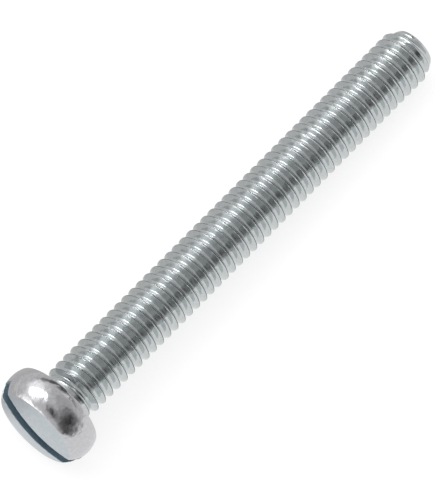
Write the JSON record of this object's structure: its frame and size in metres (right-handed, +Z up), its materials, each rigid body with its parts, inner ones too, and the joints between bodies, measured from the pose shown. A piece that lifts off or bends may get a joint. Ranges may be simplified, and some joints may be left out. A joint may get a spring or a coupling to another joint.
{
  "type": "machine screw",
  "caption": "Slotted cheese head machine screw with a right-hand metric thread up to the head, for a tapped hole or a nut",
  "frame": {"origin": "middle of the box that holds the screw as it lies on its side, on the ground", "axes": "+X along the screw toward its tip, which points 2.41 degrees down, and +Z up"},
  "size_m": [0.0376, 0.0068, 0.0068],
  "materials": {
    "zinc_plated_steel": "bright zinc plating with a faint blue passivation, smooth on the head's side and satin on its top"
  },
  "bodies": {
    "root": {"machine_screw": "zinc_plated_steel"}
  },
  "joints": []
}
